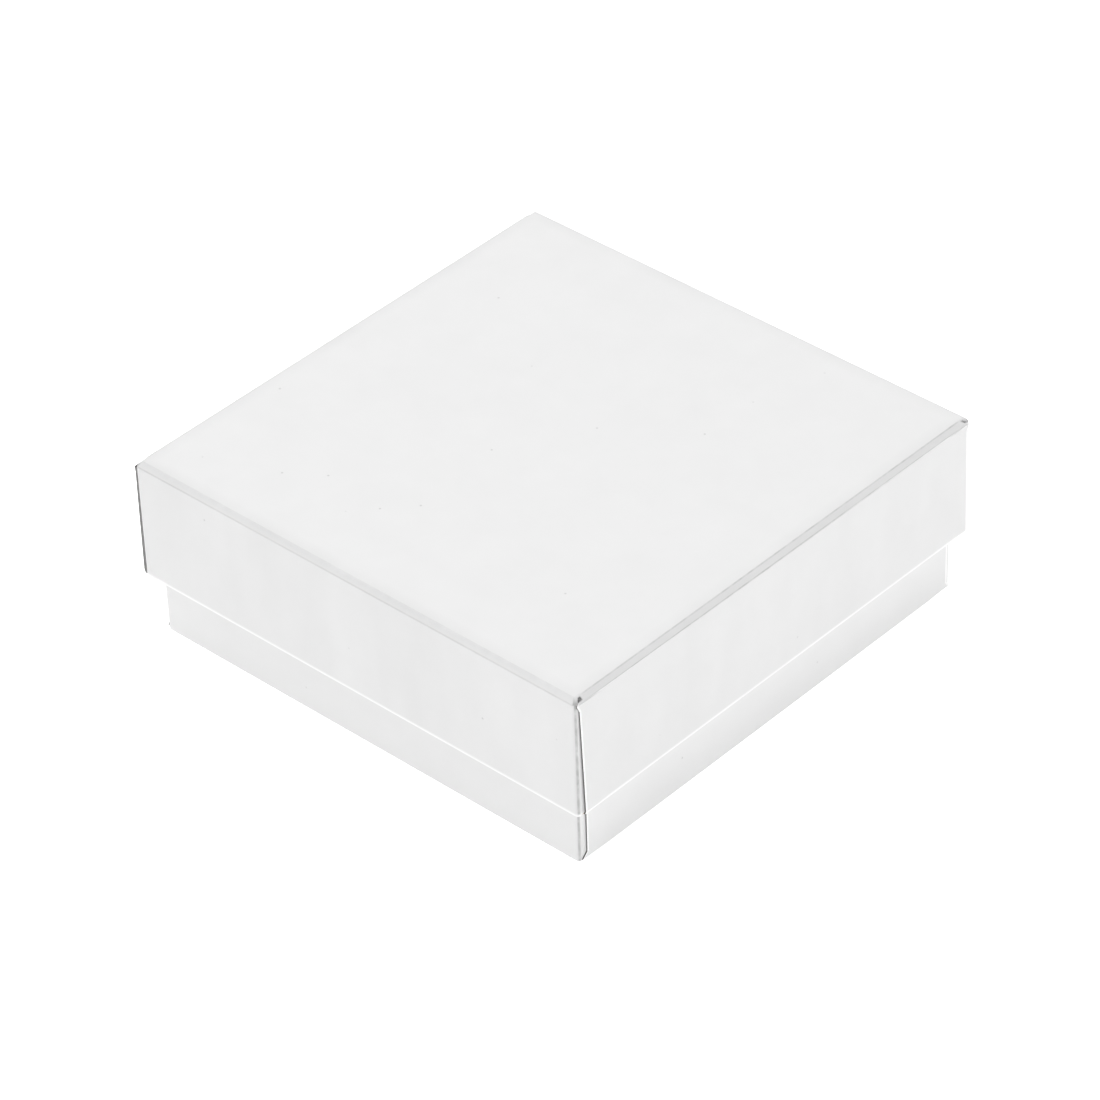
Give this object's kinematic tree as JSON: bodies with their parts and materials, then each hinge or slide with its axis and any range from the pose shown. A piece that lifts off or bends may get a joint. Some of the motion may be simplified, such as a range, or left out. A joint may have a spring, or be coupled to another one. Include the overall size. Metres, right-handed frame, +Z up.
{
  "type": "jewelry gift box",
  "caption": "Square shallow gift box for jewelry: a lift-off lid over a shorter, narrower-looking base, both board covered in plain white paper, with a loose fibre pad inside.",
  "frame": {"origin": "middle of the underside of the base, on the surface that the box stands on", "axes": "+Z up through the lid, -Y to the front, +X to the right; the box is square, so front is a choice"},
  "size_m": [0.09, 0.09, 0.033],
  "materials": {
    "wrap_paper": "matte",
    "chipboard": "matte",
    "gummed_tape": "matte",
    "fibre_fill": "matte"
  },
  "bodies": {
    "base": {"base_board": "chipboard", "base_wrap": "wrap_paper", "base_corner_stay_back_left": "gummed_tape", "base_corner_stay_back_right": "gummed_tape", "base_corner_stay_front_left": "gummed_tape", "base_corner_stay_front_right": "gummed_tape"},
    "lid": {"lid_board": "chipboard", "lid_wrap": "wrap_paper", "lid_corner_stay_back_left": "gummed_tape", "lid_corner_stay_back_right": "gummed_tape", "lid_corner_stay_front_left": "gummed_tape", "lid_corner_stay_front_right": "gummed_tape"},
    "pad": {"fibre_pad": "fibre_fill"}
  },
  "joints": [
    {"name": "lid_lift", "type": "slide", "parent": "base", "child": "lid", "axis": [0, 0, 1], "range_m": [0, 0.09]},
    {"name": "pad_lift", "type": "slide", "parent": "base", "child": "pad", "axis": [0, 0, 1], "range_m": [0, 0.01]}
  ]
}
